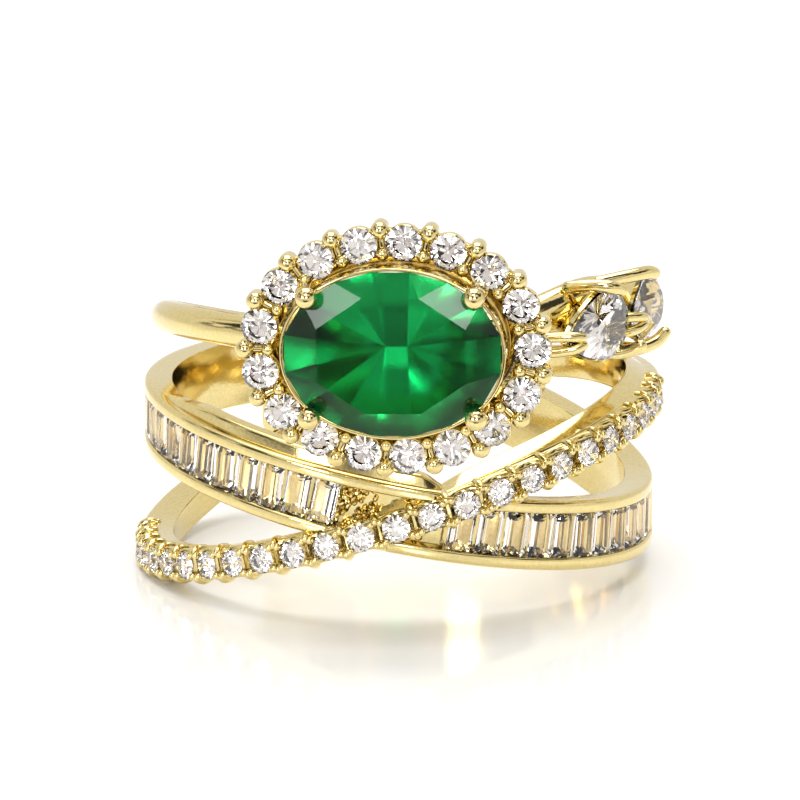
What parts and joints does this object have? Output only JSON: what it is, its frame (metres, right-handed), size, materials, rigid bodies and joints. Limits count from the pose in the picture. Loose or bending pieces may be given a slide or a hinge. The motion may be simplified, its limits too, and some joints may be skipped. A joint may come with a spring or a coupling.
{
  "type": "cocktail ring",
  "caption": "Finger ring with three crossing bands, an oval green stone in a halo of round clear stones, a channel of baguettes and two pear stones on one shoulder.",
  "frame": {"origin": "on the axis of the finger hole, at the height where the round-stone band passes the front of the finger", "axes": "+Z along the finger hole, towards the row with the centre stone; -Y out of the centre stone's table; +X towards the shoulder with the pear stones"},
  "size_m": [0.0206, 0.024, 0.0159],
  "materials": {
    "gold_plated_brass": "polished gold plate",
    "green_stone": "faceted, polished",
    "clear_stone": "faceted, polished"
  },
  "bodies": {
    "root": {"back_shank": "gold_plated_brass", "plain_band": "gold_plated_brass", "channel_band": "gold_plated_brass", "round_stone_band": "gold_plated_brass", "halo_frame": "gold_plated_brass", "halo_gallery": "gold_plated_brass", "oval_basket": "gold_plated_brass", "lower_pear_cup": "gold_plated_brass", "upper_pear_cup": "gold_plated_brass", "oval_stone": "green_stone", "halo_stone_01": "clear_stone", "halo_stone_02": "clear_stone", "halo_stone_03": "clear_stone", "halo_stone_04": "clear_stone", "halo_stone_05": "clear_stone", "halo_stone_06": "clear_stone", "halo_stone_07": "clear_stone", "halo_stone_08": "clear_stone", "halo_stone_09": "clear_stone", "halo_stone_10": "clear_stone", "halo_stone_11": "clear_stone", "halo_stone_12": "clear_stone", "halo_stone_13": "clear_stone", "halo_stone_14": "clear_stone", "halo_stone_15": "clear_stone", "halo_stone_16": "clear_stone", "halo_stone_17": "clear_stone", "baguette_left_01": "clear_stone", "baguette_left_02": "clear_stone", "baguette_left_03": "clear_stone", "baguette_left_04": "clear_stone", "baguette_left_05": "clear_stone", "baguette_left_06": "clear_stone", "baguette_left_07": "clear_stone", "baguette_left_08": "clear_stone", "baguette_left_09": "clear_stone", "baguette_left_10": "clear_stone", "baguette_left_11": "clear_stone", "baguette_right_01": "clear_stone", "baguette_right_02": "clear_stone", "baguette_right_03": "clear_stone", "baguette_right_04": "clear_stone", "baguette_right_05": "clear_stone", "baguette_right_06": "clear_stone", "baguette_right_07": "clear_stone", "baguette_right_08": "clear_stone", "baguette_right_09": "clear_stone", "baguette_right_10": "clear_stone", "baguette_right_11": "clear_stone", "round_band_stones": "clear_stone", "lower_pear_stone": "clear_stone", "upper_pear_stone": "clear_stone"}
  },
  "joints": []
}
